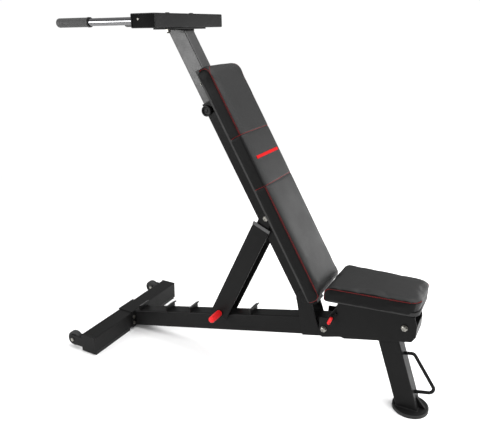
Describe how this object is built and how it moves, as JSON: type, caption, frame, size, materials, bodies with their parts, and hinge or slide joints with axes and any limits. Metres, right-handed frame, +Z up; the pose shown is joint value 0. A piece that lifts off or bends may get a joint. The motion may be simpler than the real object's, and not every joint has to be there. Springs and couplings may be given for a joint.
{
  "type": "adjustable weight bench",
  "caption": "Adjustable weight bench: sloping spine with catches, level seat, inclined backrest on a hinged support arm, and a sliding post that carries a cross tube with handle bars",
  "frame": {"origin": "on the floor under the middle of the bench's bounding box", "axes": "+X from the wheels towards the seat, +Y across the bench, +Z up"},
  "size_m": [1.3864, 0.568, 1.2851],
  "materials": {
    "black_frame": "satin fine-texture powder coat",
    "post_finish": "satin powder coat",
    "band_finish": "satin powder coat, worn edge",
    "zinc": "zinc plated",
    "chrome_bar": "polished chrome",
    "pad_leather": "fine grained synthetic leather",
    "pad_board": "black stained plywood",
    "black_plastic": "fine matt",
    "black_rubber": "matt rubber",
    "grip_rubber": "matt rubber",
    "red_rubber": "soft red rubber",
    "wheel_plastic": "moulded",
    "spring_steel": "spring wire"
  },
  "bodies": {
    "base": {"rear_crossbeam": "black_frame", "wheel_plates": "black_frame", "floor_strips": "black_rubber", "wheel_axles": "zinc", "spine_tube": "black_frame", "saddle_bracket": "black_frame", "saddle_bolts": "zinc", "spine_catches": "black_frame", "tower_plates": "black_frame", "hinge_bolt": "black_frame", "hinge_nut": "black_frame", "seat_housing": "black_frame", "housing_bolt": "zinc", "housing_nut": "zinc", "front_leg": "black_frame", "leg_gusset": "black_frame", "lift_handle": "black_frame", "foot_plate": "black_frame", "foot_rubber": "black_rubber", "seat_bolt": "zinc", "seat_nut": "zinc"},
    "wheel_near": {"wheel_near": "wheel_plastic"},
    "wheel_far": {"wheel_far": "wheel_plastic"},
    "backrest": {"hinge_bushes": "black_plastic", "backrest_tube": "black_frame", "tube_sleeve": "black_plastic", "pad_crossbars": "black_frame", "backrest_board": "pad_board", "backrest_pad": "pad_leather", "pad_screws": "zinc", "pin_housing": "black_frame", "pin_spring": "spring_steel"},
    "pull_pin": {"pin_plunger": "zinc", "pin_knob": "black_plastic"},
    "post": {"extension_post": "post_finish", "post_end_cap": "black_plastic", "top_plate": "black_frame", "cross_tube": "black_frame", "cross_tube_caps": "black_plastic", "handle_bars": "chrome_bar", "bar_grips": "grip_rubber", "grip_collars": "black_plastic", "plate_bolts": "black_frame", "plate_nuts": "zinc"},
    "arm": {"arm_channel": "black_frame", "arm_band": "band_finish", "arm_ears": "black_frame", "arm_pivot_bolt": "zinc", "arm_pivot_nut": "zinc", "arm_bars": "black_frame", "arm_grips": "red_rubber"},
    "seat": {"seat_rails": "black_frame", "seat_strut": "black_frame", "seat_board": "pad_board", "seat_pad": "pad_leather", "seat_screws": "zinc"},
    "seat_clamp": {"seat_clamp": "black_frame", "clamp_grips": "red_rubber"}
  },
  "joints": [
    {"name": "backrest_tilt", "type": "hinge", "parent": "base", "child": "backrest", "pos_m": [0.22376, 0, 0.34], "axis": [0, 1, 0], "range_deg": [-59.4, 12.6]},
    {"name": "arm_swing", "type": "hinge", "parent": "backrest", "child": "arm", "pos_m": [0.0629, 0, 0.61199], "axis": [0, 1, 0], "range_deg": [-20, 94]},
    {"name": "post_slide", "type": "slide", "parent": "backrest", "child": "post", "axis": [-0.509, 0, 0.8607], "range_m": [-0.097, 0.097]},
    {"name": "pull_pin_slide", "type": "slide", "parent": "backrest", "child": "pull_pin", "axis": [0, -1, 0], "range_m": [0, 0.01], "stiffness_N_per_m": 900, "springref_m": -0.004, "deforming": ["pin_spring"]},
    {"name": "seat_tilt", "type": "hinge", "parent": "base", "child": "seat", "pos_m": [0.57376, 0, 0.328], "axis": [0, 1, 0], "range_deg": [0, 10]},
    {"name": "seat_clamp_turn", "type": "hinge", "parent": "base", "child": "seat_clamp", "pos_m": [0.32876, 0, 0.297], "axis": [0, 1, 0], "range_deg": [0, 70]},
    {"name": "wheel_near_spin", "type": "hinge", "parent": "base", "child": "wheel_near", "pos_m": [-0.66324, -0.262, 0.041], "axis": [0, 1, 0], "continuous": true},
    {"name": "wheel_far_spin", "type": "hinge", "parent": "base", "child": "wheel_far", "pos_m": [-0.66324, 0.262, 0.041], "axis": [0, 1, 0], "continuous": true}
  ],
  "couplings": [
    {"joint": "arm_swing", "follows": "backrest_tilt", "ratio": -1.573}
  ]
}
